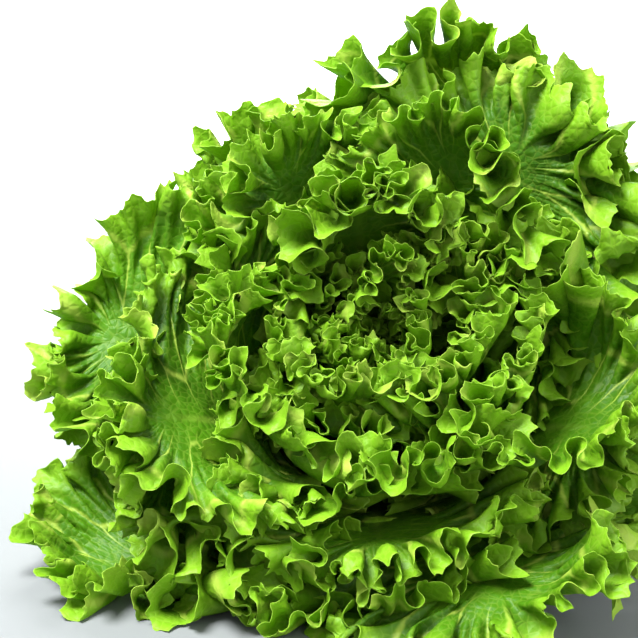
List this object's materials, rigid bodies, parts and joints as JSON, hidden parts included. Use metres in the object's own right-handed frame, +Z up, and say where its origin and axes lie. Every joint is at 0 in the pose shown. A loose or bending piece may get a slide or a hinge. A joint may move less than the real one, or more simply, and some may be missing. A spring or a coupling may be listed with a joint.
{
  "type": "head of lettuce",
  "caption": "Loose head of curly green leaf lettuce with frilled, overlapping leaves on a short cut stem, lying on its side with the crown facing forward.",
  "frame": {"origin": "on the table, below the middle of the head's box", "axes": "+Z up from the table, -Y the way the crown of the head faces, +X to the head's right as its crown is seen"},
  "size_m": [0.3082, 0.204, 0.224],
  "materials": {
    "leaf": "waxy fresh green leaf, thin and translucent, paler along the veins and the frilled margin",
    "heart_leaf": "young leaf, paler yellow green, finely frilled",
    "stem": "pale green-white cut stem, moist and matt"
  },
  "bodies": {
    "root": {"outer_leaf_01": "leaf", "outer_leaf_02": "leaf", "outer_leaf_03": "leaf", "outer_leaf_04": "leaf", "outer_leaf_05": "leaf", "outer_leaf_06": "leaf", "outer_leaf_07": "leaf", "outer_leaf_08": "leaf", "outer_leaf_09": "leaf", "outer_leaf_10": "leaf", "outer_leaf_11": "leaf", "outer_leaf_12": "leaf", "outer_leaf_13": "leaf", "middle_leaf_01": "leaf", "middle_leaf_02": "leaf", "middle_leaf_03": "leaf", "middle_leaf_04": "leaf", "middle_leaf_05": "leaf", "middle_leaf_06": "leaf", "middle_leaf_07": "leaf", "middle_leaf_08": "leaf", "middle_leaf_09": "leaf", "middle_leaf_10": "leaf", "middle_leaf_11": "leaf", "middle_leaf_12": "leaf", "middle_leaf_13": "leaf", "middle_leaf_14": "leaf", "middle_leaf_15": "leaf", "heart_leaf_01": "heart_leaf", "heart_leaf_02": "heart_leaf", "heart_leaf_03": "heart_leaf", "heart_leaf_04": "heart_leaf", "heart_leaf_05": "heart_leaf", "heart_leaf_06": "heart_leaf", "heart_leaf_07": "heart_leaf", "heart_leaf_08": "heart_leaf", "heart_leaf_09": "heart_leaf", "heart_leaf_10": "heart_leaf", "heart_leaf_11": "heart_leaf", "heart_leaf_12": "heart_leaf", "stem": "stem"}
  },
  "joints": []
}
